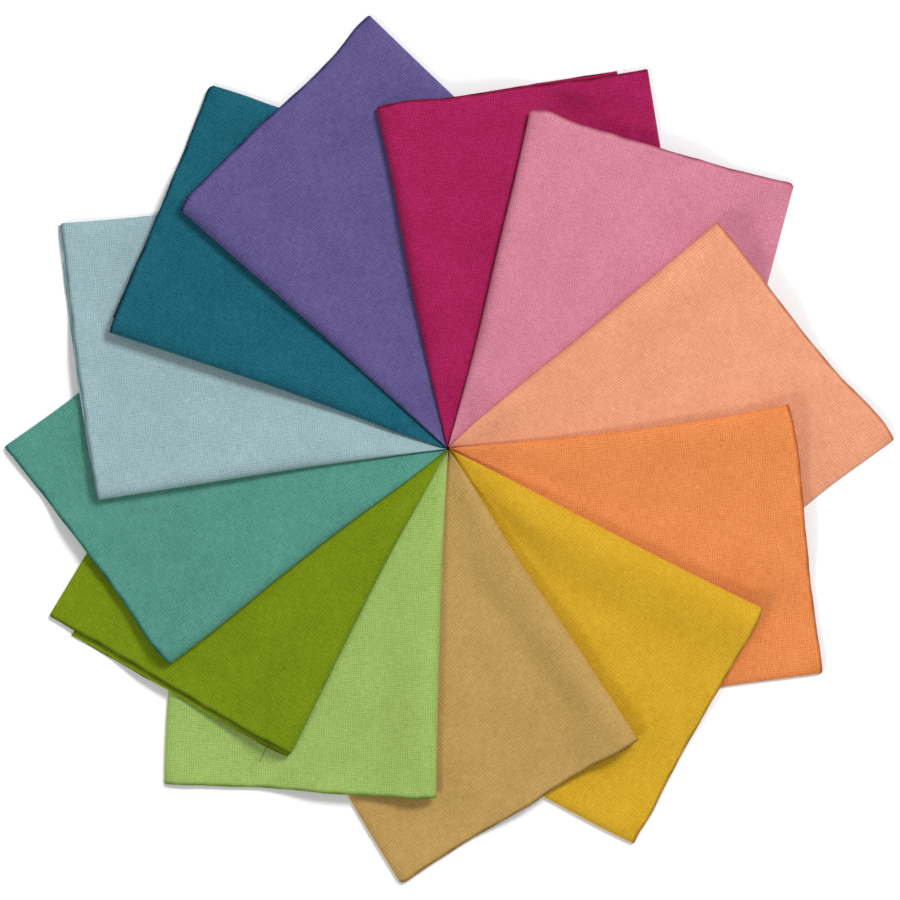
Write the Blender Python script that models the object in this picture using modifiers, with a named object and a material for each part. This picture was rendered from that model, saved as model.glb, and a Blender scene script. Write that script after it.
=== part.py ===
"""Twelve cotton fat quarters, each folded to a flat packet and laid in a closed fan.

Every packet lies over the one before it and under the one after it, all the way round, so the
fan has no top and no bottom packet. Each is a doubled cloth folded in thirds: a flap tucked in
the middle, the top panel, and a second flap underneath. Metres, +Z up, the fan seen from above
with the first packet at the left. The origin is on the floor, in the middle of the fan's box.
"""

import math
from typing import NamedTuple

import bmesh
import bpy
from mathutils import Vector

# One layer is the doubled cloth. A packet is three of them, a little apart.
LAYER = 0.0010
LAYER_GAP = 0.00035
PITCH = LAYER + LAYER_GAP
UNDER_HEIGHT = LAYER / 2
TUCK_HEIGHT = UNDER_HEIGHT + PITCH
TOP_HEIGHT = TUCK_HEIGHT + PITCH
PACKET_HEIGHT = TOP_HEIGHT + LAYER / 2

# A packet rises by one step above the packet that it lies on.
PACKET_GAP = 0.0012
STEP = PACKET_HEIGHT + PACKET_GAP
# Steps between the floor and a leading edge, at the fan's evenly spread places.
LEAD_STEPS = 3.65

# The outer part of the fan sinks, because fewer packets lie under it.
SINK_START = 0.150
SINK_WIDTH = 0.090
SINK_STEPS = 1.45

# The corners that meet in the middle are squeezed, in their steps and in their thickness.
SQUEEZE_REACH = 0.050
SQUEEZED_STEP = 0.75
SQUEEZED_THICKNESS = 0.40

# A packet stays up until a little past the edges of those beneath it, then falls to the floor.
FALL_START = 0.013
FALL_WIDTH = 0.034
PACKETS_BENEATH = 3

# Where the mesh has its lines, finer towards the corner that lies in the middle.
LINES_ALONG = (0.007, 0.018, 0.040, 0.072, 0.104, 0.136, 0.168, 0.200)
LINES_ACROSS = (0.008, 0.020, 0.044, 0.076, 0.110, 0.144)
NEAR_BEND_SEGMENTS = 4
FAR_BEND_SEGMENTS = 3

FIRST_BEARING = 160.98
PACKETS_IN_TURN = 12

COTTON_ROUGHNESS = 0.9
SHARP_ANGLE = 50.0  # degrees, past which an edge of the cloth isn't shaded round


class Packet(NamedTuple):
    """One folded fat quarter as it lies, its leading edge running out from the fan's middle."""

    colour_name: str
    colour: str  # sRGB
    bearing: float  # degrees from +X, counter-clockwise, of the leading edge
    length: float  # of the leading edge, measured from the fan's middle
    width: float  # of the outer edge
    skew: float  # degrees that the outer edge leans outwards from square
    far_turn: float  # degrees that the far edge opens from the leading edge
    tip_gap: float  # from the fan's middle to the corner of the packet
    bow: float  # of the outer edge, outwards
    tuck_reach: float  # of the tucked flap, past the outer edge
    under_reach: float  # of the flap underneath, past the outer edge
    under_stop: float  # of the flap underneath, short of the far edge

    @property
    def name(self):
        return "packet_" + self.colour_name


PACKETS = (
    Packet("teal", "195d6d", 160.98, 0.2314, 0.1727, -2.5, 4.2, 0.0030, 0.0010, 0.0010, -0.0010, 0.0),
    Packet("purple", "64598f", 137.42, 0.2350, 0.1727, -2.4, -0.3, 0.0030, -0.0005, 0.0, 0.0005, 0.0),
    Packet("magenta", "aa235c", 101.62, 0.2270, 0.1781, -3.6, -1.7, 0.0030, 0.0012, -0.0010, 0.0012, 0.020),
    Packet("pink", "d38499", 76.31, 0.2261, 0.1766, -1.5, 0.4, 0.0030, -0.0016, -0.0010, -0.0008, 0.0),
    Packet("peach", "eca17c", 39.13, 0.2282, 0.1781, 0.5, 0.5, 0.0030, -0.0012, -0.0010, -0.0005, 0.0),
    Packet("orange", "ec8d50", 7.15, 0.2231, 0.1739, 0.4, 1.9, 0.0030, 0.0006, -0.0008, -0.0010, 0.0),
    Packet("yellow", "cfa42e", -26.78, 0.2297, 0.1738, -1.2, 0.7, 0.0030, -0.0010, -0.0010, 0.0006, 0.0),
    Packet("beige", "be9b5c", -57.04, 0.2269, 0.1787, -1.7, -0.4, 0.0040, -0.0012, -0.0008, -0.0010, 0.0),
    Packet("leaf", "9db965", -91.81, 0.2277, 0.1772, -1.4, 0.4, 0.0045, 0.0008, -0.0010, 0.0004, 0.0),
    Packet("lime", "73890e", -117.35, 0.2231, 0.1817, -2.6, -3.8, 0.0035, 0.0010, -0.0008, 0.0036, 0.019),
    Packet("mint", "579586", -142.51, 0.2280, 0.1789, -0.2, -0.5, 0.0030, 0.0008, -0.0010, 0.0, 0.0),
    Packet("aqua", "9cb6b9", -171.90, 0.2295, 0.1807, 0.0, -4.5, 0.0050, 0.0, 0.0032, -0.0010, 0.0),
)


def smooth_step(value):
    """Runs smoothly from 0 to 1 as value does."""
    value = min(1.0, max(0.0, value))
    return value * value * (3.0 - 2.0 * value)


def leading_direction(packet):
    """The way the leading edge runs, out from the fan's middle."""
    bearing = math.radians(packet.bearing)
    return Vector((math.cos(bearing), math.sin(bearing)))


def outline(packet):
    """The packet's four corners as it lies: tip, leading corner, far corner, hidden corner."""
    along = leading_direction(packet)
    across = Vector((along.y, -along.x))
    skew = math.radians(packet.skew)
    tip = along * packet.tip_gap
    lead = along * packet.length
    far = lead + (along * math.sin(skew) + across * math.cos(skew)) * packet.width
    back = (far - tip).dot(along)
    hidden = far - along * back + across * (back * math.tan(math.radians(packet.far_turn)))
    return tip, lead, far, hidden


def distance_outside(point, corners):
    """The distance from a point to a packet's outline, and 0 inside it."""
    nearest = math.inf
    inside = True
    for start, end in zip(corners, corners[1:] + corners[:1]):
        edge = end - start
        inside = inside and edge.cross(point - start) <= 0.0
        share = min(1.0, max(0.0, (point - start).dot(edge) / edge.length_squared))
        nearest = min(nearest, (point - start - edge * share).length)
    return 0.0 if inside else nearest


def clockwise_turn(place, point):
    """Degrees clockwise from a packet's evenly spread place to a point, from -135 to 225."""
    place_bearing = FIRST_BEARING - place * 360.0 / PACKETS_IN_TURN
    turn = place_bearing - math.degrees(math.atan2(point.y, point.x))
    return (turn + 135.0) % 360.0 - 135.0


def lift(place, point, beneath):
    """The height of a packet's underside: a spiral ramp that gives each packet one step more."""
    radius = point.length
    steps = LEAD_STEPS - clockwise_turn(place, point) * PACKETS_IN_TURN / 360.0
    steps -= SINK_STEPS * smooth_step((radius - SINK_START) / SINK_WIDTH)
    freedom = smooth_step(radius / SQUEEZE_REACH)
    squeeze = SQUEEZED_STEP + (1.0 - SQUEEZED_STEP) * freedom
    outside = min(distance_outside(point, corners) for corners in beneath)
    held_up = 1.0 - smooth_step((outside - FALL_START) / FALL_WIDTH)
    return max(0.0, steps) * STEP * squeeze * held_up


def arc(centre, radius, start, end, segments):
    """The inner points of an arc of the fold's middle line, as (across, height)."""
    points = []
    for number in range(1, segments):
        angle = math.radians(start + (end - start) * number / segments)
        points.append((centre[0] + radius * math.cos(angle), centre[1] + radius * math.sin(angle)))
    return points


def fold_section(packet):
    """The cloth's middle line across the packet, as (across, height, reach), flap to flap."""
    near = LAYER / 2 + PITCH
    far = packet.width - LAYER / 2 - PITCH / 2
    inner = list(LINES_ACROSS)
    if packet.under_stop:
        inner[-1] = packet.width - packet.under_stop
    tuck = [(y, TUCK_HEIGHT, packet.tuck_reach) for y in inner + [far]]
    far_centre = (far, TUCK_HEIGHT + PITCH / 2)
    far_bend = [(*point, 0.0) for point in arc(far_centre, PITCH / 2, -90, 90, FAR_BEND_SEGMENTS)]
    top = [(y, TOP_HEIGHT, 0.0) for y in [far] + inner[::-1] + [near]]
    near_bend = [(*point, 0.0) for point in arc((near, TUCK_HEIGHT), PITCH, 90, 270, NEAR_BEND_SEGMENTS)]
    under_lines = [near] + inner + ([] if packet.under_stop else [far])
    under = [(y, UNDER_HEIGHT, packet.under_reach) for y in under_lines]
    return tuck + far_bend + top + near_bend + under


def plan_point(packet, corners, along, across):
    """The place on the floor of a point of the packet, each share running from 0 to 1."""
    tip, lead, far, hidden = corners
    point = tip.lerp(lead, along).lerp(hidden.lerp(far, along), across)
    bow = packet.bow * 4.0 * across * (1.0 - across) * along**4
    return point + leading_direction(packet) * bow


def flat_fold(packet, corners):
    """The folded cloth as an open surface on the floor, and its last lines along."""
    section = fold_section(packet)
    lines = [packet.tip_gap, *LINES_ALONG, packet.length]
    shares = [(line - packet.tip_gap) / (packet.length - packet.tip_gap) for line in lines]
    bm = bmesh.new()
    reach_layer = bm.verts.layers.float.new("reach")

    def place_row(row, share, last):
        for vert, (across, height, reach) in zip(row, section):
            vert.co = (*plan_point(packet, corners, share, across / packet.width), height)
            vert[reach_layer] = reach if last else 0.0

    row = [bm.verts.new() for _ in section]
    place_row(row, shares[0], False)
    edges = [bm.edges.new(pair) for pair in zip(row, row[1:])]
    for share in shares[1:]:
        grown = bmesh.ops.extrude_edge_only(bm, edges=edges)["geom"]
        new_verts = [item for item in grown if isinstance(item, bmesh.types.BMVert)]
        follower = {}
        for vert in new_verts:
            for edge in vert.link_edges:
                follower.setdefault(edge.other_vert(vert), vert)
        new_row = [follower[vert] for vert in row]
        place_row(new_row, share, share == shares[-1])
        split_away_from_tip(bm, row, new_row, section)
        edges = [bm.edges.get(pair) for pair in zip(new_row, new_row[1:])]
        row = new_row
    bmesh.ops.recalc_face_normals(bm, faces=bm.faces)
    mesh = bpy.data.meshes.new(packet.name)
    bm.to_mesh(mesh)
    bm.free()
    return mesh, shares[-2]


def split_away_from_tip(bm, row, new_row, section):
    """Splits a strip's squares along the diagonal that runs away from the packet's tip."""
    for number in range(len(row) - 1):
        rising = section[number + 1][0] > section[number][0]
        if rising:
            diagonal = row[number], new_row[number + 1]
        else:
            diagonal = row[number + 1], new_row[number]
        square = next(face for face in row[number].link_faces
                      if {row[number + 1], new_row[number], new_row[number + 1]} <= set(face.verts))
        bmesh.utils.face_split(square, *diagonal)


def thicken(mesh, collection):
    """Gives the open surface its cloth's thickness, and returns the closed mesh."""
    sheet = bpy.data.objects.new("sheet", mesh)
    collection.objects.link(sheet)
    solidify = sheet.modifiers.new("cloth", "SOLIDIFY")
    solidify.thickness = LAYER
    solidify.offset = 0.0
    solidify.use_even_offset = True
    bpy.context.view_layer.update()
    graph = bpy.context.evaluated_depsgraph_get()
    closed = bpy.data.meshes.new_from_object(sheet.evaluated_get(graph))
    bpy.data.objects.remove(sheet)
    return closed


def lay_on_fan(mesh, place, packet, outlines, last_share):
    """Lays the folded packet over the packets beneath it, keeping each layer's upright thickness."""
    beneath = [outlines[(place - below) % len(outlines)] for below in range(1, PACKETS_BENEATH + 1)]
    corners = outlines[place]
    last_cell = (corners[1] - corners[0]) * (1.0 - last_share)
    outwards = leading_direction(packet)
    for vert, reach in zip(mesh.vertices, mesh.attributes["reach"].data):
        point = vert.co.to_2d()
        freedom = smooth_step(point.length / SQUEEZE_REACH)
        squeeze = SQUEEZED_THICKNESS + (1.0 - SQUEEZED_THICKNESS) * freedom
        height = lift(place, point, beneath)
        if reach.value:
            slope = (height - lift(place, point - last_cell, beneath)) / last_cell.length
            height = max(0.0, height + slope * reach.value)
            point += outwards * reach.value
        vert.co = (point.x, point.y, vert.co.z * squeeze + height)


def cotton(packet):
    """Plain dyed quilting cotton."""
    material = bpy.data.materials.new(packet.name + "_cotton")
    material.use_nodes = True
    shader = material.node_tree.nodes["Principled BSDF"]
    channels = [int(packet.colour[start:start + 2], 16) / 255.0 for start in (0, 2, 4)]
    linear = [c / 12.92 if c <= 0.04045 else ((c + 0.055) / 1.055) ** 2.4 for c in channels]
    shader.inputs["Base Color"].default_value = (*linear, 1.0)
    shader.inputs["Roughness"].default_value = COTTON_ROUGHNESS
    shader.inputs["Metallic"].default_value = 0.0
    return material


def build_packet(place, packet, outlines, collection):
    """Folds one fat quarter, lays it in its place, and returns its object."""
    flat, last_share = flat_fold(packet, outlines[place])
    mesh = thicken(flat, collection)
    mesh.name = packet.name
    lay_on_fan(mesh, place, packet, outlines, last_share)
    mesh.attributes.remove(mesh.attributes["reach"])
    mesh.materials.append(cotton(packet))
    mesh.shade_smooth()
    mesh.set_sharp_from_angle(angle=math.radians(SHARP_ANGLE))
    piece = bpy.data.objects.new(packet.name, mesh)
    collection.objects.link(piece)
    return piece


def centre_on_floor(pieces):
    """Moves the fan so that the middle of its box lies over the origin."""
    points = [vert.co for piece in pieces for vert in piece.data.vertices]
    middle = [(min(p[axis] for p in points) + max(p[axis] for p in points)) / 2 for axis in (0, 1)]
    for piece in pieces:
        piece.location = (-middle[0], -middle[1], 0.0)


def main():
    for old in list(bpy.data.objects):
        bpy.data.objects.remove(old)
    collection = bpy.data.collections.new("fat_quarter_fan")
    bpy.context.scene.collection.children.link(collection)
    outlines = [outline(packet) for packet in PACKETS]
    pieces = [build_packet(place, packet, outlines, collection) for place, packet in enumerate(PACKETS)]
    centre_on_floor(pieces)


main()
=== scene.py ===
"""Dresses the fan: twelve fat quarters of dyed quilting cotton, each folded and laid in its place.

Each cut is one flat sheet of 18 by 21 inches. It is halved, folded in thirds, and laid on the
ramp that the packets make as they overlap all the way round. Lengths are metres and angles are
degrees, but a bow or a reach in the table of packets is given in millimetres. A packet's own
axes are along its leading edge from the tip, across it, and up.
"""

import logging
import math
import random
from dataclasses import dataclass, field
from enum import Enum

import bmesh
import bpy
import numpy as np
from mathutils import Matrix, Vector


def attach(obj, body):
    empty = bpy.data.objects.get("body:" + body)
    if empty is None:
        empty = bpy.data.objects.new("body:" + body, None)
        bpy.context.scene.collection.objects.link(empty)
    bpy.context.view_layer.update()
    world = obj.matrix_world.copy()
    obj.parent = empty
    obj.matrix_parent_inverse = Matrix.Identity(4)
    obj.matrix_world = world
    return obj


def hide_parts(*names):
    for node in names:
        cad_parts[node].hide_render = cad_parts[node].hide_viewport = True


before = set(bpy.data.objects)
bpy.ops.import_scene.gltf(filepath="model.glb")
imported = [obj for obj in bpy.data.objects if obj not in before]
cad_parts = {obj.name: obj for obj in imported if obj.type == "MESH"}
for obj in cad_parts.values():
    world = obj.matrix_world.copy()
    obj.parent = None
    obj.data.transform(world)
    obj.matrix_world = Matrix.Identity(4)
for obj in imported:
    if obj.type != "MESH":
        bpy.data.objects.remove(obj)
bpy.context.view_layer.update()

LOG = logging.getLogger("fat_quarter_fan")

MM = 0.001
UV_NAME = "cut"
SHARP_RIM = math.radians(50.0)

# The fan's middle, where the tips meet, lies a little off the middle of its box.
FAN_MIDDLE = Vector((-0.65 * MM, 0.976 * MM))
PACKETS_IN_TURN = 12


def smooth_step(value: np.ndarray | float) -> np.ndarray | float:
    """Runs smoothly from 0 to 1 as value does."""
    value = np.clip(value, 0.0, 1.0)
    return value * value * (3.0 - 2.0 * value)


def parabolic_rise(value: float) -> float:
    """Rises from 0 at an angle and levels out at 1."""
    value = min(1.0, max(0.0, value))
    return 1.0 - (1.0 - value) ** 2


def elliptic_rise(value: float) -> float:
    """Rises upright from 0 and levels out at 1, as the rounding of a fold does."""
    return math.sqrt(parabolic_rise(value))


def graded(start: float, end: float, cells: int, ease: float) -> list[float]:
    """Places lines between two ends, closer together near both.

    Args:
        start: the first line.
        end: the last line.
        cells: how many cells lie between them.
        ease: from 0, even, to just under 1, very close at the ends.

    Returns:
        The lines, one more than the cells.
    """
    shares = [number / cells for number in range(cells + 1)]
    turns = [share - ease * math.sin(math.tau * share) / math.tau for share in shares]
    return [start + (end - start) * turn for turn in turns]


class Panel(Enum):
    """The three panels of a cloth that is folded in thirds."""

    TUCK = "tucked inside"
    TOP = "on top"
    UNDER = "underneath"


@dataclass(frozen=True)
class Bow:
    """How far an edge stands out from its straight line, as (share of its length, millimetres)."""

    points: tuple[tuple[float, float], ...] = ((0.0, 0.0), (1.0, 0.0))

    def at(self, share: np.ndarray) -> np.ndarray:
        """Runs a smooth curve through the points.

        Args:
            share: where along the edge, from 0 to 1.

        Returns:
            How far the edge stands out there, in metres.
        """
        shares, offsets = np.array(self.points).T
        offsets = offsets * MM
        slopes = np.gradient(offsets, shares)
        share = np.clip(share, shares[0], shares[-1])
        cell = np.clip(np.searchsorted(shares, share, side="right") - 1, 0, len(shares) - 2)
        run = shares[cell + 1] - shares[cell]
        t = (share - shares[cell]) / run
        start = offsets[cell] * (1 + 2 * t) * (1 - t) ** 2 + slopes[cell] * run * t * (1 - t) ** 2
        end = offsets[cell + 1] * (3 - 2 * t) * t**2 - slopes[cell + 1] * run * (1 - t) * t**2
        return start + end


@dataclass(frozen=True)
class SoftFold:
    """A soft ridge, or a trough where its height is less than 0.

    It runs between two places, each along the packet and across it, in millimetres, and so are
    its width to one side and its height.
    """

    start: tuple[float, float]
    end: tuple[float, float]
    width: float
    height: float

    def rise(self, along: np.ndarray, across: np.ndarray) -> np.ndarray:
        """How far it lifts the cloth at each place."""
        start = Vector(self.start) * MM
        run = Vector(self.end) * MM - start
        share = ((along - start.x) * run.x + (across - start.y) * run.y) / run.length_squared
        share = np.clip(share, 0.0, 1.0)
        distance = np.hypot(along - start.x - run.x * share, across - start.y - run.y * share)
        return self.height * MM * np.exp(-((distance / (self.width * MM)) ** 2))


@dataclass(frozen=True)
class Packet:
    """Where one folded cut lies in the fan, and how evenly it was folded.

    The leading edge runs from the tip to the leading corner, the outer edge on to the far
    corner, and the far edge from the hidden corner to the far one. How far the tucked panel and
    the one underneath reach past the top one is given in millimetres, at the leading edge and at
    the far one.
    """

    colour: str
    place: int
    bearing: float
    length: float
    width: float
    skew: float
    far_turn: float
    lead_lift: float
    lead_bow: Bow = Bow()
    outer_bow: Bow = Bow()
    far_bow: Bow = Bow()
    tuck_reach: tuple[float, float] = (-0.8, -1.0)
    under_reach: tuple[float, float] = (-0.8, -0.8)
    under_stop: float = 0.0
    far_corner_round: float = 1.5 * MM
    near_puff: float = 4.0 * MM
    near_roll: float = 9 * MM
    far_roll: float = 9 * MM
    tip_gap: float = 1.3 * MM
    soft_folds: tuple[SoftFold, ...] = ()

    @property
    def name(self) -> str:
        """The name of the packet's node in the frame."""
        return "packet_" + self.colour

    @property
    def slot(self) -> str:
        """A material slot name for the packet, which this script does not use."""
        return "cotton_" + self.colour

    @property
    def along(self) -> Vector:
        """The way the leading edge runs, out from the fan's middle."""
        bearing = math.radians(self.bearing)
        return Vector((math.cos(bearing), math.sin(bearing)))

    @property
    def across(self) -> Vector:
        """The way from the leading edge to the far one, clockwise round the fan."""
        return Vector((self.along.y, -self.along.x))

    @property
    def reach(self) -> float:
        """The length of the leading edge itself, from the tip to the leading corner."""
        return self.length - self.tip_gap

    def corners(self) -> tuple[Vector, Vector, Vector, Vector]:
        """The tip, the leading corner, the far corner and the hidden corner, as seen from above."""
        skew = math.radians(self.skew)
        tip = self.along * self.tip_gap
        lead = self.along * self.length
        far = lead + (self.along * math.sin(skew) + self.across * math.cos(skew)) * self.width
        back = (far - tip).dot(self.along)
        opening = back * math.tan(math.radians(self.far_turn))
        return tip, lead, far, far - self.along * back + self.across * opening

    def plan(self, along: np.ndarray, across: np.ndarray) -> tuple[np.ndarray, np.ndarray]:
        """Finds where points of the packet lie on the floor.

        Args:
            along: distances from the tip along the leading edge.
            across: distances from the leading edge.

        Returns:
            Their x and y, from the fan's middle.
        """
        s = along / self.reach
        v = across / self.width
        tip, lead, far, hidden = self.corners()
        places = []
        for axis in (0, 1):
            near_side = tip[axis] + (lead[axis] - tip[axis]) * s
            far_side = hidden[axis] + (far[axis] - hidden[axis]) * s
            places.append(near_side + (far_side - near_side) * v)
        inside_s, inside_v = np.clip(s, 0.0, 1.0), np.clip(v, 0.0, 1.0)
        outwards = self.outer_bow.at(v) * inside_s**6
        sideways = self.far_bow.at(s) * inside_v**4 - self.lead_bow.at(s) * (1.0 - inside_v) ** 4
        x = places[0] + self.along.x * outwards + self.across.x * sideways
        y = places[1] + self.along.y * outwards + self.across.y * sideways
        return x, y


@dataclass(frozen=True)
class FanRamp:
    """The spiral ramp that lifts each packet one step above the one before it, all the way round.

    The sizes are those of the fan's solids, so each cloth lies where its solid does.
    """

    packets: tuple[Packet, ...]
    step: float = 4.9 * MM
    lead_steps: float = 3.65
    sink_start: float = 150 * MM
    sink_width: float = 90 * MM
    sink_steps: float = 1.45
    squeeze_reach: float = 50 * MM
    squeezed_step: float = 0.75
    squeezed_thickness: float = 0.40
    fall_start: float = 13 * MM
    fall_width: float = 34 * MM
    packets_beneath: int = 3

    def outside(self, packet: Packet, x: np.ndarray, y: np.ndarray) -> np.ndarray:
        """The distance from points to a packet's outline, and 0 inside it."""
        corners = packet.corners()
        nearest = np.full(x.shape, np.inf)
        inside = np.ones(x.shape, bool)
        for start, end in zip(corners, corners[1:] + corners[:1]):
            edge = end - start
            from_x, from_y = x - start.x, y - start.y
            inside &= edge.x * from_y - edge.y * from_x <= 0.0
            share = np.clip((from_x * edge.x + from_y * edge.y) / edge.length_squared, 0.0, 1.0)
            nearest = np.minimum(nearest, np.hypot(from_x - edge.x * share, from_y - edge.y * share))
        return np.where(inside, 0.0, nearest)

    def lift(self, packet: Packet, x: np.ndarray, y: np.ndarray) -> np.ndarray:
        """The height of a packet's underside over points of the floor."""
        radius = np.hypot(x, y)
        place_bearing = self.packets[0].bearing - packet.place * 360.0 / PACKETS_IN_TURN
        turn = (place_bearing - np.degrees(np.arctan2(y, x)) + 135.0) % 360.0 - 135.0
        steps = self.lead_steps - turn * PACKETS_IN_TURN / 360.0
        steps -= self.sink_steps * smooth_step((radius - self.sink_start) / self.sink_width)
        freedom = smooth_step(radius / self.squeeze_reach)
        squeeze = self.squeezed_step + (1.0 - self.squeezed_step) * freedom
        beneath = [self.packets[packet.place - below] for below in range(1, self.packets_beneath + 1)]
        outside = np.minimum.reduce([self.outside(other, x, y) for other in beneath])
        held_up = 1.0 - smooth_step((outside - self.fall_start) / self.fall_width)
        return np.maximum(0.0, steps) * self.step * squeeze * held_up

    def thickness(self, x: np.ndarray, y: np.ndarray) -> np.ndarray:
        """The share of its thickness that a packet keeps, least where the tips are squeezed."""
        freedom = smooth_step(np.hypot(x, y) / self.squeeze_reach)
        return self.squeezed_thickness + (1.0 - self.squeezed_thickness) * freedom


@dataclass(frozen=True)
class Spring:
    """How the cloth springs at one distance from the tip.

    Looseness is how wide the folds round off, 1 on average. The puffs are how far the top panel
    bellies up behind the leading fold and before the far one, and the reach is how far inwards
    the first belly goes.
    """

    looseness: float = 1.0
    near_puff: float = 0.0
    near_reach: float = 34 * MM
    far_puff: float = 0.0


@dataclass(frozen=True)
class ThirdsFold:
    """The doubled cloth as it runs through the fold: tucked panel, top panel, panel underneath.

    The packet is three doubled cloths thick. Its long edges are two thick, because one panel
    stops short of each fold, and the top panel rounds down to them.
    """

    width: float
    under_stop: float = 0.0
    near_roll: float = 9 * MM
    far_roll: float = 9 * MM
    cloth: float = 0.30 * MM
    plies: int = 6
    ply_pitch: float = 0.76 * MM
    stop_share: float = 0.6
    drop_width: float = 10 * MM
    drop_share: float = 0.6
    far_reach: float = 30 * MM
    arc_degrees: tuple[float, ...] = (0.0, 16.0, 32.0, 50.0, 70.0)
    bend_degrees: tuple[float, ...] = (30.0, 60.0)
    middle_cells: int = 30
    under_cells: int = 32
    edge_cells: int = 4
    ease: float = 0.3

    @property
    def half_pair(self) -> float:
        """Half the thickness of the doubled cloth."""
        return (self.ply_pitch + self.cloth) / 2

    @property
    def pair_pitch(self) -> float:
        """The step from one doubled cloth to the next."""
        return 2 * self.ply_pitch

    @property
    def bend(self) -> float:
        """The radius of the lower, tighter half of each fold, which turns in a quarter circle."""
        return self.pair_pitch / 2

    @property
    def bend_height(self) -> float:
        """The height at which a fold stands upright."""
        return self.half_pair + self.bend

    @property
    def far_edge(self) -> float:
        """Where the far fold stands upright."""
        return self.width - self.half_pair

    @property
    def stop(self) -> float:
        """Where the panel underneath ends."""
        short = self.under_stop if self.under_stop else self.stop_share * self.far_roll + self.bend
        return self.width - short

    def near_top(self, spring: Spring) -> float:
        """Where the leading fold has levelled out."""
        return self.half_pair + self.near_roll * spring.looseness

    def far_top(self, spring: Spring) -> float:
        """Where the far fold begins to round off."""
        return self.far_edge - self.far_roll * spring.looseness

    def tuck_height(self, across: float, spring: Spring) -> float:
        """The height of the tucked panel, which comes down to the far fold."""
        end, width = self.far_edge - self.bend, self.far_roll
        if self.under_stop:
            end, width = self.stop + self.drop_share * self.drop_width, self.drop_width
        return self.half_pair + self.pair_pitch * parabolic_rise((end - across) / (width * spring.looseness))

    def top_height(self, across: float, spring: Spring) -> float:
        """The height of the top panel, which rounds down to both folds."""
        deck = self.half_pair + 2 * self.pair_pitch
        if self.under_stop:
            deck = self.pair_pitch + self.tuck_height(across, spring)
        past_near = (across - self.near_top(spring)) / spring.near_reach
        before_far = (self.far_top(spring) - across) / self.far_reach
        deck += spring.near_puff * (1.0 - smooth_step(past_near))
        deck += spring.far_puff * (1.0 - smooth_step(before_far))
        near = elliptic_rise((across - self.half_pair) / (self.near_roll * spring.looseness))
        far_width = self.bend if self.under_stop else self.far_roll * spring.looseness
        far = elliptic_rise((self.far_edge - across) / far_width)
        return self.bend_height + (deck - self.bend_height) * near * far

    def middle_line(self, spring: Spring) -> list[tuple[Panel, float, float]]:
        """Runs the doubled cloth's middle line through the fold.

        Args:
            spring: how the cloth springs there.

        Returns:
            Its points from the tucked edge to the last one, each a panel, a distance across the
            packet and a height. A bend goes with the top panel.
        """
        near_top, far_top = self.near_top(spring), self.far_top(spring)
        middle = graded(near_top, far_top, self.middle_cells, self.ease)
        far_end = self.far_edge - self.bend
        drop = [far_top + (far_end - far_top) * n / self.edge_cells for n in range(1, self.edge_cells + 1)]
        points = [(Panel.TUCK, y, self.tuck_height(y, spring)) for y in middle + drop]
        for angle in map(math.radians, self.bend_degrees):
            height = self.bend_height - self.bend * math.cos(angle)
            points.append((Panel.TOP, far_end + self.bend * math.sin(angle), height))
        arc = [1.0 - math.cos(math.radians(angle)) for angle in self.arc_degrees]
        far_arc = [self.far_edge - (self.far_edge - far_top) * share for share in arc]
        near_arc = [self.half_pair + (near_top - self.half_pair) * share for share in reversed(arc)]
        points += [(Panel.TOP, y, self.top_height(y, spring)) for y in far_arc + middle[::-1] + near_arc]
        near_end = self.half_pair + self.bend
        for angle in map(math.radians, reversed(self.bend_degrees)):
            height = self.bend_height - self.bend * math.cos(angle)
            points.append((Panel.TOP, near_end - self.bend * math.sin(angle), height))
        under = graded(near_end, self.stop, self.under_cells, self.ease)
        return points + [(Panel.UNDER, y, self.half_pair) for y in under]


@dataclass(frozen=True)
class Row:
    """One line of the cloth across the packet: how far along it lies, and on which ply.

    The side runs from -1 on the outer ply, round the fold at the tip, to 1 on the inner ply.
    """

    along: float
    side: float


@dataclass(frozen=True)
class Waver:
    """A slight wave: its height, how far it runs in one radian, and how far a phase turns it."""

    height: float
    length: float
    phase_turn: float

    def at(self, distance: float, phase: float) -> float:
        """How far it stands out at a distance."""
        return self.height * math.sin(distance / self.length + self.phase_turn * phase)


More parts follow.
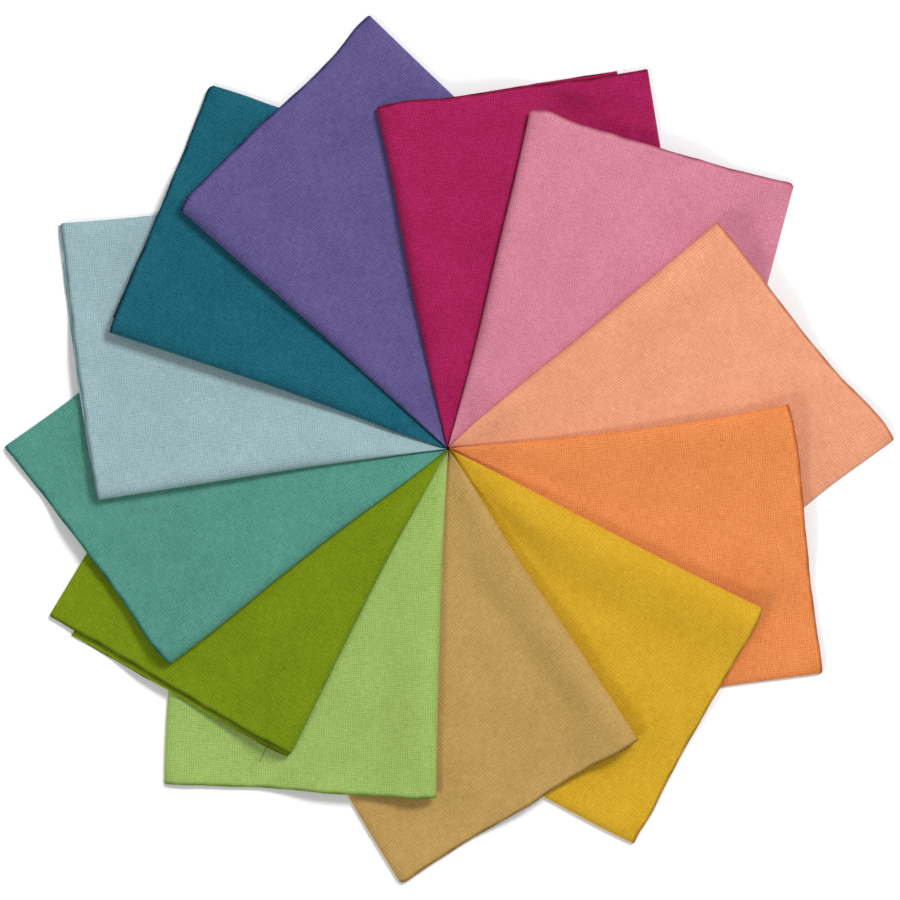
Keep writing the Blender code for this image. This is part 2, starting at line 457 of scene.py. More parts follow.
@dataclass
class FoldedCut:
    """One cut of cotton: halved, folded in thirds, and laid in the fan.

    It springs least near the tip, over the squeezed length. The wavers of its raw edges and how
    far its inner ply draws back are given in millimetres.
    """

    packet: Packet
    ramp: FanRamp
    along_cells: int = 58
    along_ease: float = 0.75
    tip_cells: int = 4
    loose_waver: Waver = Waver(0.10, 37 * MM, 2.1)
    slow_waver: Waver = Waver(0.12, 83 * MM, 1.3)
    edge_wavers: tuple[Waver, ...] = (Waver(0.13, 5.1 * MM, 1.0), Waver(0.18, 19 * MM, -1.0),
                                      Waver(0.07, 2.3 * MM, 2.0))
    ply_draw_back: tuple[float, float] = (0.2, 0.8)
    tip_looseness: float = 0.55
    squeezed_length: float = 95 * MM
    free_slope: float = 0.5
    puff_reach: tuple[float, float] = (4 * MM, 36 * MM)
    far_puff: float = 1.1 * MM
    far_puff_start: float = 0.62
    far_puff_run: float = 0.2
    lift_start: float = 60 * MM
    lift_run: float = 90 * MM
    least_lift_width: float = 30 * MM
    lift_spread: float = 0.30
    reach_blend: float = 30 * MM
    end_droop: float = 0.34
    end_droop_width: float = 3.6 * MM
    fold: ThirdsFold = field(init=False)
    ply_reach: dict[tuple[Panel, bool], float] = field(init=False)

    def __post_init__(self) -> None:
        """Sets up the fold, and draws how far each ply's raw edge stands back."""
        packet = self.packet
        self.fold = ThirdsFold(packet.width, packet.under_stop, packet.near_roll, packet.far_roll)
        chance = random.Random(packet.place)
        self.ply_reach = {(panel, False): 0.0 for panel in Panel}
        self.ply_reach.update({(panel, True): -chance.uniform(*self.ply_draw_back) * MM for panel in Panel})

    def rows(self) -> list[Row]:
        """The cloth's lines across the packet, from the outer ply's raw edge to the inner ply's."""
        radius = self.fold.ply_pitch / 2
        lines = graded(radius, self.packet.reach, self.along_cells, self.along_ease)
        turns = [math.pi * (n / self.tip_cells - 0.5) for n in range(1, self.tip_cells)]
        tip = [Row(radius * (1.0 - math.cos(turn)), math.sin(turn)) for turn in turns]
        return [Row(x, -1.0) for x in reversed(lines)] + tip + [Row(x, 1.0) for x in lines]

    def spring(self, along: float) -> Spring:
        """How the cloth springs at a distance from the tip, as uneven as hand folding."""
        place, reach = self.packet.place, self.packet.reach
        wave = self.loose_waver.at(along, place)
        slow = self.slow_waver.at(along, place)
        freedom = smooth_step(along / self.squeezed_length)
        outer = smooth_step((along - self.far_puff_start * reach) / (self.far_puff_run * reach))
        looseness = (self.tip_looseness + (1.0 - self.tip_looseness) * freedom) * (1.0 + wave + slow)
        free_width = self.free_slope * along - self.fold.near_roll * looseness
        least, most = self.puff_reach
        return Spring(
            looseness=looseness,
            near_puff=self.packet.near_puff * (1.0 + 2.0 * wave) * freedom,
            near_reach=min(most, max(least, free_width)),
            far_puff=self.far_puff * outer,
        )

    def edge_reach(self, panel: Panel, row: Row, across: float) -> float:
        """How much further out a point lies for the reach of its own raw edge.

        Args:
            panel: the point's panel.
            row: the point's line across the packet.
            across: the point's distance from the leading edge.

        Returns:
            The distance to add along the leading edge.
        """
        inner = row.side > 0.0
        v = across / self.packet.width
        reach = self.ply_reach[panel, inner]
        if panel is not Panel.TOP:
            near, far = self.packet.tuck_reach if panel is Panel.TUCK else self.packet.under_reach
            reach += (near + (far - near) * v) * MM
        # Each raw edge wavers in its own way.
        phase = 1.7 * self.packet.place + 2.3 * inner + 0.9 * len(panel.value)
        waver = sum(wave.at(across, phase) for wave in self.edge_wavers)
        share = smooth_step((row.along - self.packet.reach + self.reach_blend) / self.reach_blend)
        return share * (reach + waver * MM) - share**4 * self.corner_drop(across)

    def corner_drop(self, across: float) -> float:
        """How far the raw edge draws back at a point for the rounding of the far corner."""
        radius = self.packet.far_corner_round
        inside = min(radius, max(0.0, self.packet.width - across))
        return radius - math.sqrt(max(0.0, radius**2 - (radius - inside) ** 2))

    def fold_sheet(self, bm: bmesh.types.BMesh) -> None:
        """Folds a flat grid: each line across becomes a row, each line along runs through the fold."""
        rows = self.rows()
        middle = self.fold.middle_line(Spring())
        bmesh.ops.create_grid(bm, x_segments=len(rows) - 1, y_segments=len(middle) - 1, size=0.5)
        uv_layer = bm.loops.layers.uv.new(UV_NAME)
        folded = [self.fold_row(row) for row in rows]
        cloth_along = run_lengths([Vector((row.along, row.side * self.fold.ply_pitch / 2)) for row in rows])
        cloth_across = run_lengths([Vector(point[1:]) for point in middle])
        flat_place = {}
        for vert in bm.verts:
            line = round((vert.co.x + 0.5) * (len(rows) - 1))
            station = round((vert.co.y + 0.5) * (len(middle) - 1))
            flat_place[vert] = (cloth_along[line], cloth_across[station])
            vert.co = folded[line][station]
        for face in bm.faces:
            for loop in face.loops:
                loop[uv_layer].uv = flat_place[loop.vert]

    def fold_row(self, row: Row) -> list[Vector]:
        """Runs one line across the cloth through the fold.

        Args:
            row: the line.

        Returns:
            Its points, along the packet, across it to the right, and up.
        """
        middle = self.fold.middle_line(self.spring(row.along))
        outer_end = (row.along - self.packet.reach + self.end_droop_width) / self.end_droop_width
        kept_height = 1.0 - self.end_droop * max(0.0, outer_end) ** 2
        points = []
        for number, (panel, across, height) in enumerate(middle):
            _, *before = middle[max(0, number - 1)]
            _, *after = middle[min(len(middle) - 1, number + 1)]
            run = Vector((after[0] - before[0], after[1] - before[1])).normalized()
            offset = row.side * self.fold.ply_pitch / 2
            y = across - run.y * offset
            z = (height + run.x * offset) * kept_height
            points.append(Vector((row.along + self.edge_reach(panel, row, y), -y, z)))
        return points

    def thicken(self, sheet: bpy.types.Object) -> bpy.types.Mesh:
        """Gives the folded sheet its cloth's thickness, and returns the closed mesh."""
        solidify = sheet.modifiers.new("cloth", "SOLIDIFY")
        solidify.thickness = self.fold.cloth
        solidify.offset = 0.0
        bpy.context.view_layer.update()
        graph = bpy.context.evaluated_depsgraph_get()
        return bpy.data.meshes.new_from_object(sheet.evaluated_get(graph))

    def lay(self, mesh: bpy.types.Mesh) -> None:
        """Lays a mesh from the packet's own axes in its place on the fan."""
        local = np.empty(len(mesh.vertices) * 3)
        mesh.vertices.foreach_get("co", local)
        along, across, height = local.reshape(-1, 3).T * np.array([[1.0], [-1.0], [1.0]])
        x, y = self.packet.plan(along, across)
        z = height * self.ramp.thickness(x, y) + self.ramp.lift(self.packet, x, y)
        z += self.raised_edge(along, across) + self.soft_rise(along, across, height)
        placed = np.column_stack((x + FAN_MIDDLE.x, y + FAN_MIDDLE.y, z))
        mesh.vertices.foreach_set("co", placed.ravel())
        mesh.update()

    def raised_edge(self, along: np.ndarray, across: np.ndarray) -> np.ndarray:
        """How far the leading edge stands up, where the packet is too stiff to lie close."""
        outwards = smooth_step((along - self.lift_start) / self.lift_run)
        width = np.maximum(self.least_lift_width, self.lift_spread * along)
        inwards = 1.0 - smooth_step(across / width)
        return self.packet.lead_lift * outwards * inwards

    def soft_rise(self, along: np.ndarray, across: np.ndarray, height: np.ndarray) -> np.ndarray:
        """How far the soft folds lift the cloth, the top ply most."""
        share = np.clip(height / (self.fold.plies * self.fold.ply_pitch), 0.0, 1.0)
        return share * sum((soft.rise(along, across) for soft in self.packet.soft_folds), np.zeros(1))

    def build(self, material: bpy.types.Material) -> bpy.types.Object:
        """Folds, thickens and lays the cut, and returns its object."""
        bm = bmesh.new()
        self.fold_sheet(bm)
        flat = bpy.data.meshes.new(self.packet.name + "_flat")
        bm.to_mesh(flat)
        bm.free()
        sheet = bpy.data.objects.new(self.packet.name + "_flat", flat)
        bpy.context.scene.collection.objects.link(sheet)
        mesh = self.thicken(sheet)
        bpy.data.objects.remove(sheet)
        bpy.data.meshes.remove(flat)
        self.lay(mesh)
        mesh.name = "folded_cut_" + self.packet.colour
        return finished_piece(mesh, material)


def run_lengths(points: list[Vector]) -> list[float]:
    """The distance run along a line of points, up to each of them."""
    lengths = [0.0]
    for before, after in zip(points, points[1:]):
        lengths.append(lengths[-1] + (after - before).length)
    return lengths


def finished_piece(mesh: bpy.types.Mesh, material: bpy.types.Material) -> bpy.types.Object:
    """Makes an object of a mesh, shaded smooth but for its sharp rims."""
    mesh.materials.clear()
    mesh.materials.append(material)
    mesh.shade_smooth()
    mesh.set_sharp_from_angle(angle=SHARP_RIM)
    piece = bpy.data.objects.new(mesh.name, mesh)
    bpy.context.scene.collection.objects.link(piece)
    return piece


@dataclass(frozen=True)
class LooseThread:
    """A thread that stands out of a raw edge by itself, with its length in millimetres.

    It leaves the top panel's edge at a share of the packet's width, at an angle to the packet's
    length, and its curl turns it further over its whole length.
    """

    share: float
    length: float
    heading: float
    curl: float


@dataclass(frozen=True)
class RawEdgeThreads:
    """The thread ends that stand out of a packet's raw outer edges.

    They take the painted edge shade in full, so they are drawn dark. The loose ones are drawn
    three times as thick as the others, or they wouldn't show.
    """

    cut: FoldedCut
    loose: tuple[LooseThread, ...] = ()
    first_seed: int = 100
    count: int = 40
    radius: float = 0.09 * MM
    loose_radius: float = 0.27 * MM
    loose_bends: int = 7
    shortest: float = 0.3 * MM
    longest: float = 0.9 * MM
    inside: float = 0.6 * MM
    edge_shares: tuple[float, float] = (0.03, 0.95)
    lean: float = 0.5
    bend: float = 0.9
    rise: float = 0.2

    def build(self, material: bpy.types.Material) -> bpy.types.Object:
        """Grows the thread ends in the packet's own axes and lays them with it."""
        chance = random.Random(self.first_seed + self.cut.packet.place)
        bm = bmesh.new()
        for _ in range(self.count):
            self.grow(bm, chance)
        for thread in self.loose:
            self.grow_loose(bm, thread)
        mesh = bpy.data.meshes.new("thread_ends_" + self.cut.packet.colour)
        uv_layer = bm.loops.layers.uv.new(UV_NAME)
        for face in bm.faces:
            for loop in face.loops:
                # Measured back from the raw edge, so every thread end lies in the painted edge shade.
                loop[uv_layer].uv = (self.cut.packet.reach - loop.vert.co.x, loop.vert.co.y)
        bm.to_mesh(mesh)
        bm.free()
        self.cut.lay(mesh)
        return finished_piece(mesh, material)

    def root(self, panel: Panel, side: float, across: float) -> Vector:
        """A place a little inside a ply's raw edge, where a thread leaves the weave."""
        fold = self.cut.fold
        row = Row(self.cut.packet.reach, side)
        spring = self.cut.spring(row.along)
        height = fold.half_pair + side * fold.ply_pitch / 2
        if panel is Panel.TOP:
            height = fold.top_height(across, spring) - side * fold.ply_pitch / 2
        out = row.along + self.cut.edge_reach(panel, row, across) - self.inside
        return Vector((out, -across, height * (1.0 - self.cut.end_droop)))

    def grow(self, bm: bmesh.types.BMesh, chance: random.Random) -> None:
        """Grows one thread end from the raw edge of a panel drawn by chance."""
        across = chance.uniform(*self.edge_shares) * self.cut.packet.width
        panel = chance.choice((Panel.TOP, Panel.TOP, Panel.UNDER))
        start = self.root(panel, chance.choice((-1.0, 1.0)), across)
        heading = Vector((1.0, chance.uniform(-self.lean, self.lean), chance.uniform(0.0, self.rise)))
        steps = [Vector((self.inside, 0.0, 0.0))]
        length = chance.uniform(self.shortest, self.longest)
        for _ in range(2):
            heading += Vector((0.0, chance.uniform(-self.bend, self.bend), chance.uniform(0.0, self.rise)))
            steps.append(heading.normalized() * length / 2)
        grow_thread(bm, start, steps, self.radius)

    def grow_loose(self, bm: bmesh.types.BMesh, thread: LooseThread) -> None:
        """Grows one long thread in a curl."""
        bends = self.loose_bends
        start = self.root(Panel.TOP, -1.0, thread.share * self.cut.packet.width)
        steps = [Vector((self.inside, 0.0, 0.0))]
        for number in range(bends):
            turn = math.radians(thread.heading + thread.curl * number / (bends - 1))
            steps.append(Vector((math.cos(turn), -math.sin(turn), 0.0)) * thread.length * MM / bends)
        grow_thread(bm, start, steps, self.loose_radius)


def grow_thread(bm: bmesh.types.BMesh, start: Vector, steps: list[Vector], radius: float) -> None:
    """Grows one closed three-sided thread.

    Args:
        bm: where it is added.
        start: the middle of its first end.
        steps: from each bend to the next.
        radius: of the thread.
    """
    turned = Matrix.Translation(start) @ Matrix.Rotation(math.pi / 2, 4, "Y")
    ring = bmesh.ops.create_circle(bm, segments=3, radius=radius, cap_ends=True, matrix=turned)
    face = ring["verts"][0].link_faces[0]
    for step in steps:
        grown = bmesh.ops.extrude_face_region(bm, geom=[face])["geom"]
        face = next(item for item in grown if isinstance(item, bmesh.types.BMFace))
        bmesh.ops.translate(bm, verts=list(face.verts), vec=step)


def linear(colour: str, lighter: float = 0.0) -> tuple[float, float, float]:
    """Turns an sRGB hex colour to linear red, green and blue, made lighter or darker first."""
    channels = [int(colour[start:start + 2], 16) / 255.0 + lighter for start in (0, 2, 4)]
    channels = [min(1.0, max(0.0, channel)) for channel in channels]
    return tuple(c / 12.92 if c <= 0.04045 else ((c + 0.055) / 1.055) ** 2.4 for c in channels)


def add_node(tree: bpy.types.NodeTree, kind: str, inputs: dict[int | str, object],
             **settings: object) -> bpy.types.Node:
    """Adds a node with its settings and links.

    Args:
        tree: the material's nodes.
        kind: the type of the node.
        inputs: for each socket's name or number, a value, or the node or socket that feeds it.
        settings: the node's own settings.

    Returns:
        The new node.
    """
    node = tree.nodes.new(kind)
    for name, value in settings.items():
        setattr(node, name, value)
    for socket, value in inputs.items():
        if isinstance(value, bpy.types.Node):
            value = value.outputs[0]
        if isinstance(value, bpy.types.NodeSocket):
            tree.links.new(value, node.inputs[socket])
        else:
            node.inputs[socket].default_value = value
    return node


@dataclass(frozen=True)
class QuiltingCotton:
    """Plain-woven quilting cotton, coloured by piece dyeing: matt, with thick and thin threads.

    The weave shows as a fine grain of painted light and shade: lighter copies of the dye on the
    threads' tops and darker ones in the pits between them. At the raw edge a thin dark band of
    painted shade stands for the shadow that the cut threads hold where they stand apart.
    """

    name: str
    colour: str
    # Real threads lie 0.4 mm apart. They are drawn nearly four times as coarse, or they wouldn't show.
    thread_pitch: float = 1.45 * MM
    # The step to the lighter and darker copies of the dye: painted light and shade for the weave, the
    # cotton's own tone for slubs, grain and mottle.
    contrast: float = 0.07
    weave: float = 0.95
    grain: float = 1.1
    grain_size: float = 0.85 * MM
    slub: float = 0.9
    slub_length: float = 7 * MM
    slub_width: float = 0.75 * MM
    mottle: float = 0.5
    mottle_size: float = 30 * MM
    wander: float = 1.6
    wanders_per_metre: float = 70.0
    fullness: float = 0.5
    # A thin dark band of painted shade along the upper ply's raw edge: how dark, and how wide.
    painted_edge_shade: float = 0.24
    painted_edge_shade_width: float = 2.4 * MM
    bump_strength: float = 0.35
    bump_depth: float = 0.2 * MM
    roughness: float = 0.9
    specular: float = 0.12
    sheen: float = 0.04
    sheen_roughness: float = 0.5

    def material(self) -> bpy.types.Material:
        """Makes the cotton's nodes, which all read the cloth's own flat measure in metres."""
        material = bpy.data.materials.new(self.name)
        material.use_nodes = True
        tree = material.node_tree
        shader = tree.nodes["Principled BSDF"]
        cloth = self.wandering_threads(tree)
        raised = self.raised(tree, cloth)
        shade = self.shade(tree, cloth, raised)
        # The dye, with painted highlight on the weave's crossings, painted shade in its pits, and its own
        # uneven tone.
        dye_with_painted_weave_shade = add_node(
            tree, "ShaderNodeMix",
            {0: shade, 6: (*linear(self.colour, -self.contrast), 1.0),
             7: (*linear(self.colour, self.contrast), 1.0)},
            data_type="RGBA", clamp_factor=True)
        # Painted shade darkens the colour towards the upper ply's raw edge.
        with_painted_edge_shade = add_node(
            tree, "ShaderNodeMix",
            {0: self.edge_shade_mask(tree, cloth), 6: dye_with_painted_weave_shade.outputs[2],
             7: (*linear(self.colour, -self.painted_edge_shade), 1.0)},
            data_type="RGBA", clamp_factor=True)
        bump = add_node(
            tree, "ShaderNodeBump",
            {"Strength": self.bump_strength, "Distance": self.bump_depth, "Height": raised})
        tree.links.new(with_painted_edge_shade.outputs[2], shader.inputs["Base Color"])
        tree.links.new(bump.outputs[0], shader.inputs["Normal"])
        shader.inputs["Roughness"].default_value = self.roughness
        shader.inputs["Specular IOR Level"].default_value = self.specular
        shader.inputs["Sheen Weight"].default_value = self.sheen
        shader.inputs["Sheen Roughness"].default_value = self.sheen_roughness
        return material

    def wandering_threads(self, tree: bpy.types.NodeTree) -> bpy.types.Node:
        """The flat measure of the cloth, with threads that wander a little from straight."""
        flat = add_node(tree, "ShaderNodeUVMap", {}, uv_map=UV_NAME)
        drift = add_node(tree, "ShaderNodeTexNoise",
                         {"Vector": flat, "Scale": self.wanders_per_metre, "Detail": 1.0})
        centred = add_node(tree, "ShaderNodeVectorMath", {0: drift.outputs["Color"], 1: (0.5, 0.5, 0.5)},
                           operation="SUBTRACT")
        scaled = add_node(tree, "ShaderNodeVectorMath",
                          {0: centred, "Scale": self.wander * self.thread_pitch}, operation="SCALE")
        return add_node(tree, "ShaderNodeVectorMath", {0: flat, 1: scaled}, operation="ADD")

    def edge_shade_mask(self, tree: bpy.types.NodeTree, cloth: bpy.types.Node) -> bpy.types.Node:
        """How near the upper ply's raw edge lies, from 1 at the cut to 0 further in: the mask of the painted
        edge shade.
        """
        parts = add_node(tree, "ShaderNodeSeparateXYZ", {0: cloth})
        return add_node(tree, "ShaderNodeMapRange",
                        {0: parts.outputs[0], 1: 0.0, 2: self.painted_edge_shade_width, 3: 1.0, 4: 0.0})

    def raised(self, tree: bpy.types.NodeTree, cloth: bpy.types.Node) -> bpy.types.Node:
        """How high the cloth stands at each crossing of the threads, 0 in the pits between them."""
        parts = add_node(tree, "ShaderNodeSeparateXYZ", {0: cloth})
        waves = []
        for axis in (0, 1):
            turn = add_node(tree, "ShaderNodeMath",
                            {0: parts.outputs[axis], 1: math.pi / self.thread_pitch}, operation="MULTIPLY")
            waves.append(add_node(tree, "ShaderNodeMath", {0: turn}, operation="COSINE"))
        product = add_node(tree, "ShaderNodeMath", {0: waves[0], 1: waves[1]}, operation="MULTIPLY")
        upright = add_node(tree, "ShaderNodeMath", {0: product}, operation="ABSOLUTE")
        return add_node(tree, "ShaderNodeMath", {0: upright, 1: self.fullness}, operation="POWER")

    def shade(self, tree: bpy.types.NodeTree, cloth: bpy.types.Node,
              raised: bpy.types.Node) -> bpy.types.Node:
        """How light the thread shows, 0.5 on average: painted highlight on the crossings, painted shade in
        the pits, uneven along thick and thin threads.
        """
        mean_raised, mean_noise = 0.58, 0.5
        # The weave gives painted highlight and painted shade; the slubs, grain and mottle are the cotton's
        # own uneven tone.
        patterns = [(raised, self.weave, mean_raised)]
        long_way, short_way = 1.0 / self.slub_length, 1.0 / self.slub_width
        for stretch in ((long_way, short_way, 1.0), (short_way, long_way, 1.0)):
            drawn_out = add_node(tree, "ShaderNodeVectorMath", {0: cloth, 1: stretch}, operation="MULTIPLY")
            streaks = add_node(tree, "ShaderNodeTexNoise",
                               {"Vector": drawn_out, "Scale": 1.0, "Detail": 1.0})
            patterns.append((streaks, self.slub, mean_noise))
        for size, depth in ((self.grain_size, self.grain), (self.mottle_size, self.mottle)):
            patches = add_node(tree, "ShaderNodeTexNoise",
                               {"Vector": cloth, "Scale": 1.0 / size, "Detail": 1.0})
            patterns.append((patches, depth, mean_noise))
        total = 0.5 - sum(depth * mean for _, depth, mean in patterns)
        for pattern, depth, _ in patterns:
            total = add_node(tree, "ShaderNodeMath", {0: pattern, 1: depth, 2: total},
                             operation="MULTIPLY_ADD")
        return total


@dataclass(frozen=True)
class WhitePaper:
    """Matt white background paper."""

    name: str = "matt_white_background_paper"
    colour: str = "fafafa"
    roughness: float = 0.95
    specular: float = 0.1

    def material(self) -> bpy.types.Material:
        """Makes the paper, with no gloss to speak of."""
        material = bpy.data.materials.new(self.name)
        material.use_nodes = True
        shader = material.node_tree.nodes["Principled BSDF"]
        shader.inputs["Base Color"].default_value = (*linear(self.colour), 1.0)
        shader.inputs["Roughness"].default_value = self.roughness
        shader.inputs["Specular IOR Level"].default_value = self.specular
        return material


@dataclass(frozen=True)
class SoftBox:
    """A square soft box that faces the fan: its place and size in metres, its power in watts."""

    name: str
    place: tuple[float, float, float]
    size: float
    power: float

    def hang(self) -> None:
        """Hangs the soft box in its place."""
        lamp = bpy.data.lights.new(self.name, "AREA")
        lamp.size = self.size
        lamp.energy = self.power
        holder = bpy.data.objects.new(self.name, lamp)
        holder.location = self.place
        holder.rotation_euler = (-Vector(self.place)).to_track_quat("-Z", "Y").to_euler()
        bpy.context.scene.collection.objects.link(holder)


@dataclass(frozen=True)
class Studio:
    """A white paper floor, soft light from both sides, and the camera straight over the fan."""

    photo_pixels: int = 900
    pixel: float = 0.6533 * MM
    camera_offset: Vector = Vector((0.65 * MM, 0.0))
    lens: float = 200.0
    sensor: float = 36.0
    floor_size: float = 14.0
    floor_drop: float = 0.4 * MM
    sky_strength: float = 0.40
    soft_boxes: tuple[SoftBox, ...] = (
        SoftBox("soft_box_right", (3.0, 3.7, 5.2), 1.8, 390.0),
        SoftBox("soft_box_left", (-3.2, -3.6, 3.8), 1.4, 110.0),
    )

    def build(self) -> None:
        """Sets up the floor, the lights, the sky and the camera."""
        self.lay_floor()
        for soft_box in self.soft_boxes:
            soft_box.hang()
        self.set_sky()
        self.set_camera()
        bpy.context.scene.view_settings.view_transform = "Standard"

    def lay_floor(self) -> None:
        """Lays the paper just below the cloth."""
        bm = bmesh.new()
        bmesh.ops.create_grid(bm, x_segments=1, y_segments=1, size=self.floor_size / 2)
        bmesh.ops.translate(bm, verts=bm.verts, vec=(0.0, 0.0, -self.floor_drop))
        mesh = bpy.data.meshes.new("floor")
        bm.to_mesh(mesh)
        bm.free()
        mesh.materials.append(WhitePaper().material())
        floor = bpy.data.objects.new("floor", mesh)
        bpy.context.scene.collection.objects.link(floor)

    def set_sky(self) -> None:
        """Fills the room with even white light."""
        world = bpy.data.worlds.new("room")
        world.use_nodes = True
        bpy.context.scene.world = world
        sky = world.node_tree.nodes["Background"]
        sky.inputs["Color"].default_value = (1.0, 1.0, 1.0, 1.0)
        sky.inputs["Strength"].default_value = self.sky_strength

    def set_camera(self) -> None:
        """Sets the camera over the fan, looking straight down."""
        camera = bpy.data.cameras.new("camera")
        camera.lens = self.lens
        camera.sensor_width = self.sensor
        holder = bpy.data.objects.new("camera", camera)
        photo_width = self.photo_pixels * self.pixel
        holder.location = (*self.camera_offset, photo_width * self.lens / self.sensor)
        bpy.context.scene.collection.objects.link(holder)
        bpy.context.scene.camera = holder


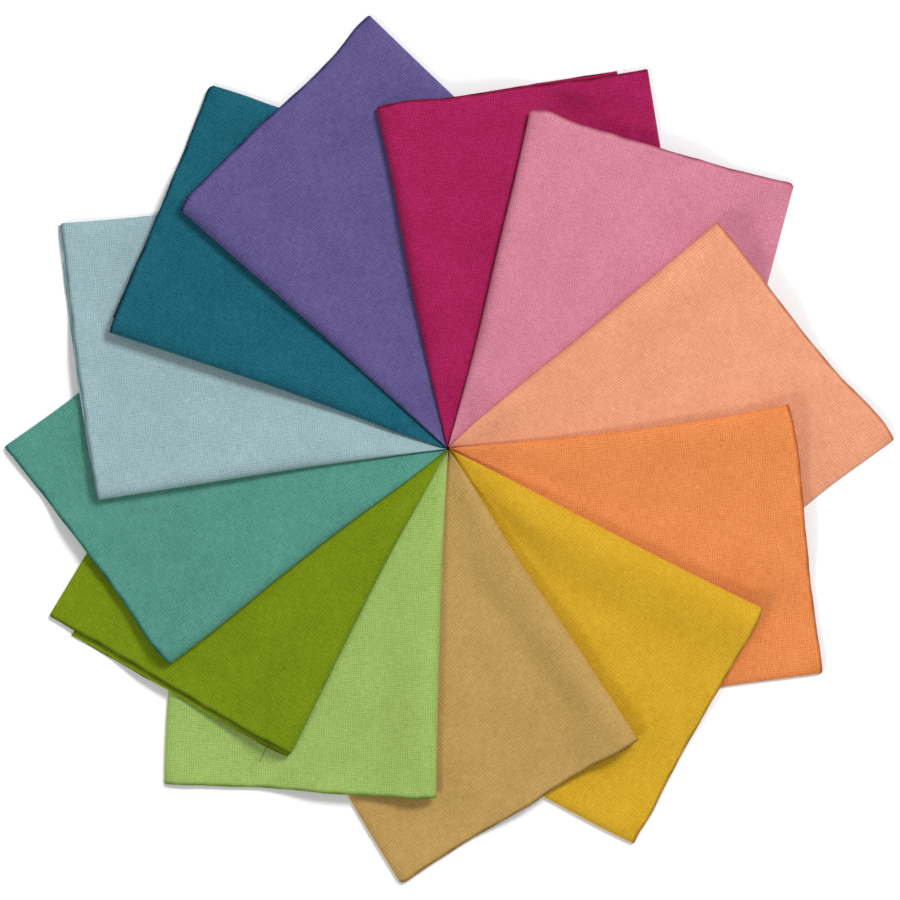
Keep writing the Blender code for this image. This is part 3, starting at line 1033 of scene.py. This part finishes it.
PACKETS = (
    Packet(
        "teal", 0, 160.98, 231.4 * MM, 172.7 * MM, -2.5, 4.2, lead_lift=4.5 * MM,
        lead_bow=Bow(((0.0, 0.0), (0.1, 0.8), (0.3, -0.2), (0.5, -0.9), (0.8, -0.2), (1.0, 0.5))),
        outer_bow=Bow(((0.0, 1.2), (0.25, 1.4), (0.5, 0.8), (0.8, 0.2), (1.0, 0.7))),
        far_bow=Bow(((0.0, 0.0), (0.7, -2.0), (0.8, -1.3), (0.9, 0.6), (1.0, 1.6))),
        tuck_reach=(1.4, -1.8), far_corner_round=4.0 * MM),
    Packet(
        "purple", 1, 137.42, 235.0 * MM, 172.7 * MM, -2.4, -0.3, lead_lift=1.5 * MM,
        lead_bow=Bow(((0.0, 0.0), (0.2, 0.5), (0.5, 0.9), (0.8, 2.6), (1.0, 3.5))),
        outer_bow=Bow(((0.0, -2.4), (0.06, 0.6), (0.15, 0.7), (0.45, 0.5), (0.65, -1.1), (0.8, -0.8),
                       (0.95, 1.8), (1.0, 1.5))),
        far_bow=Bow(((0.0, 0.0), (0.8, 0.2), (1.0, 1.1)))),
    Packet(
        "magenta", 2, 101.62, 227.0 * MM, 178.1 * MM, -3.6, -1.7, lead_lift=1.2 * MM,
        near_puff=4.2 * MM,
        lead_bow=Bow(((0.0, 0.0), (0.2, 1.3), (0.4, 2.0), (0.6, 1.3), (0.8, 0.4), (1.0, 0.9))),
        outer_bow=Bow(((0.0, -0.2), (0.08, 1.2), (0.25, -0.3), (0.6, 0.3), (0.9, 0.0), (1.0, 0.7))),
        far_bow=Bow(((0.0, 0.0), (0.8, -0.6), (1.0, -0.1))),
        under_reach=(-1.0, 2.9), under_stop=20 * MM,
        soft_folds=(SoftFold((110, 32), (195, 36), 8, -2.4), SoftFold((150, 62), (200, 72), 6, -1.6),
                    SoftFold((208, 118), (200, 160), 9, -2.4))),
    Packet(
        "pink", 3, 76.31, 226.1 * MM, 176.6 * MM, -1.5, 0.4, lead_lift=1.5 * MM,
        lead_bow=Bow(((0.0, 0.0), (0.3, -1.5), (0.6, -0.9), (0.8, -0.8), (1.0, 0.1))),
        outer_bow=Bow(((0.0, 0.3), (0.055, 2.5), (0.14, 0.8), (0.35, -0.2), (0.6, -1.5), (0.8, -1.3),
                       (1.0, 0.1))),
        far_bow=Bow(((0.0, 0.0), (0.7, 0.3), (0.9, 1.5), (1.0, 2.2))),
        far_corner_round=3.4 * MM,
        near_puff=5.0 * MM,
        soft_folds=(SoftFold((60, 20), (150, 38), 9, -2.5), SoftFold((180, 135), (200, 165), 13, -2.5))),
    Packet(
        "peach", 4, 39.13, 228.2 * MM, 178.1 * MM, 0.5, 0.5, lead_lift=2.0 * MM,
        lead_bow=Bow(((0.0, 0.0), (0.1, 2.0), (0.25, 2.7), (0.5, 2.3), (0.8, 3.0), (1.0, 3.7))),
        outer_bow=Bow(((0.0, 0.5), (0.2, 0.2), (0.5, -1.2), (0.7, -1.0), (0.95, 1.4), (1.0, 0.1))),
        far_bow=Bow(((0.0, 0.0), (0.68, -2.4), (0.8, -1.7), (0.9, -0.2), (1.0, 1.3))),
        far_roll=15 * MM),
    Packet(
        "orange", 5, 7.15, 223.1 * MM, 173.9 * MM, 0.4, 1.9, lead_lift=3.2 * MM,
        near_puff=1.2 * MM,
        lead_bow=Bow(((0.0, 0.0), (0.2, -1.5), (0.5, -2.9), (0.7, -2.6), (0.9, -0.7), (1.0, 0.9))),
        outer_bow=Bow(((0.0, 0.2), (0.06, 1.6), (0.22, 2.4), (0.38, 1.3), (0.6, 0.4), (1.0, 0.0))),
        far_bow=Bow(((0.0, 0.0), (0.7, 0.3), (0.9, 1.5), (1.0, 2.1))),
        soft_folds=(SoftFold((48, 17), (86, 43), 6, -1.7), SoftFold((150, 120), (200, 130), 16, -2.0))),
    Packet(
        "yellow", 6, -26.78, 229.7 * MM, 173.8 * MM, -1.2, 0.7, lead_lift=1.0 * MM,
        near_puff=7.0 * MM, near_roll=15 * MM,
        lead_bow=Bow(((0.0, 0.0), (0.15, 0.4), (0.4, -0.2), (0.7, -1.1), (1.0, -0.5))),
        outer_bow=Bow(((0.0, 0.2), (0.04, 1.2), (0.2, 0.8), (0.45, -1.0), (0.7, -1.3), (0.9, -0.7),
                       (0.97, -1.7), (1.0, -1.0))),
        far_bow=Bow(((0.0, 0.0), (0.7, 0.3), (0.9, 1.9), (1.0, 1.9)))),
    Packet(
        "beige", 7, -57.04, 226.9 * MM, 178.7 * MM, -1.7, -0.4, lead_lift=2.0 * MM,
        lead_bow=Bow(((0.0, 0.0), (0.1, 0.4), (0.35, -0.5), (0.65, 0.6), (1.0, 1.1))),
        outer_bow=Bow(((0.0, -0.4), (0.08, -0.2), (0.2, -1.5), (0.35, -1.3), (0.43, -0.5), (0.7, -1.3),
                       (0.88, -0.5), (1.0, 0.8))),
        far_bow=Bow(((0.0, 0.0), (0.7, 0.0), (0.85, 1.2), (1.0, 1.8))),
        far_corner_round=3.4 * MM,
        near_puff=5.0 * MM,
        soft_folds=(SoftFold((70, 33), (190, 25), 8, -2.3), SoftFold((78, 43), (96, 48), 5, -1.0),
                    SoftFold((192, 151), (226, 147), 2.6, 1.0), SoftFold((188, 162), (224, 159), 2.4, 0.9))),
    Packet(
        "leaf", 8, -91.81, 227.7 * MM, 177.2 * MM, -1.4, 0.4, lead_lift=1.5 * MM,
        lead_bow=Bow(((0.0, 0.0), (0.15, -0.7), (0.5, -1.3), (0.8, -1.1), (1.0, -0.3))),
        outer_bow=Bow(((0.0, -0.4), (0.08, 1.1), (0.18, 0.6), (0.38, 1.3), (0.6, 0.2), (0.8, 0.6),
                       (1.0, 1.3))),
        far_bow=Bow(((0.0, 0.0), (0.7, -0.2), (0.9, 1.0), (1.0, 1.0)))),
    Packet(
        "lime", 9, -117.35, 223.1 * MM, 181.7 * MM, -2.6, -3.8, lead_lift=2.0 * MM,
        lead_bow=Bow(((0.0, 0.0), (0.15, -0.6), (0.35, -1.8), (0.6, -1.2), (0.85, -0.1), (1.0, 0.6))),
        outer_bow=Bow(((0.0, 0.5), (0.1, 1.7), (0.3, 1.9), (0.6, 1.6), (1.0, 1.7))),
        far_bow=Bow(((0.0, 0.0), (0.8, -0.3), (1.0, -0.4))),
        under_reach=(2.4, 4.4), under_stop=19 * MM),
    Packet(
        "mint", 10, -142.51, 228.0 * MM, 178.9 * MM, -0.2, -0.5, lead_lift=2.0 * MM,
        lead_bow=Bow(((0.0, 0.0), (0.1, 0.6), (0.4, -0.5), (0.6, -0.2), (0.8, 1.3), (1.0, 1.5))),
        outer_bow=Bow(((0.0, 0.8), (0.04, 1.9), (0.3, 0.6), (0.5, 0.0), (0.75, 0.7), (1.0, 1.8))),
        far_bow=Bow(((0.0, 0.0), (0.7, -3.0), (0.85, -2.7), (1.0, -1.6)))),
    Packet(
        "aqua", 11, -171.90, 229.5 * MM, 180.7 * MM, 0.0, -4.5, lead_lift=2.0 * MM,
        lead_bow=Bow(((0.0, 0.0), (0.15, -0.4), (0.4, -0.8), (0.7, 0.2), (1.0, 1.1))),
        outer_bow=Bow(((0.0, 0.4), (0.2, 1.7), (0.5, 1.9), (0.75, 1.2), (1.0, 0.0))),
        far_bow=Bow(((0.0, 0.0), (0.7, 2.2), (0.85, 1.0), (1.0, 0.5))),
        tuck_reach=(0.7, 1.9)),
)

LOOSE_THREADS = {
    "purple": tuple(LooseThread(share, length, heading, 60.0) for share, length, heading in (
        (0.012, 2.4, -50.0), (0.020, 3.1, -10.0), (0.027, 2.2, 20.0), (0.036, 2.8, -35.0),
        (0.045, 3.3, 5.0), (0.054, 2.3, -60.0), (0.062, 2.9, -20.0), (0.075, 2.2, 10.0))),
    "lime": (LooseThread(0.085, 13.5, 6.0, -10.0),),
}

COTTONS = {
    colour: QuiltingCotton("plain_cotton_" + colour, dye) for colour, dye in (
        ("teal", "105767"), ("purple", "584e81"), ("magenta", "99144d"), ("pink", "c6798e"),
        ("peach", "de9673"), ("orange", "db8248"), ("yellow", "c89d21"), ("beige", "b29052"),
        ("leaf", "93af5c"), ("lime", "6d8203"), ("mint", "4c8a7b"), ("aqua", "91abaf"))
}


def add_to_part(piece: bpy.types.Object) -> None:
    """Makes a piece ride with the fan, and logs how many faces it has."""
    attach(piece, "root")
    LOG.info("%s: %d faces", piece.name, len(piece.data.polygons))


def main() -> None:
    """Folds and lays the twelve cuts, and sets up the studio."""
    logging.basicConfig(level=logging.INFO, format="%(message)s")
    ramp = FanRamp(PACKETS)
    for packet in PACKETS:
        material = COTTONS[packet.colour].material()
        cut = FoldedCut(packet, ramp)
        cloth = cut.build(material)
        add_to_part(cloth)
        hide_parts(packet.name)
        threads = RawEdgeThreads(cut, LOOSE_THREADS.get(packet.colour, ())).build(material)
        add_to_part(threads)
    Studio().build()


if __name__ == "__main__":
    main()
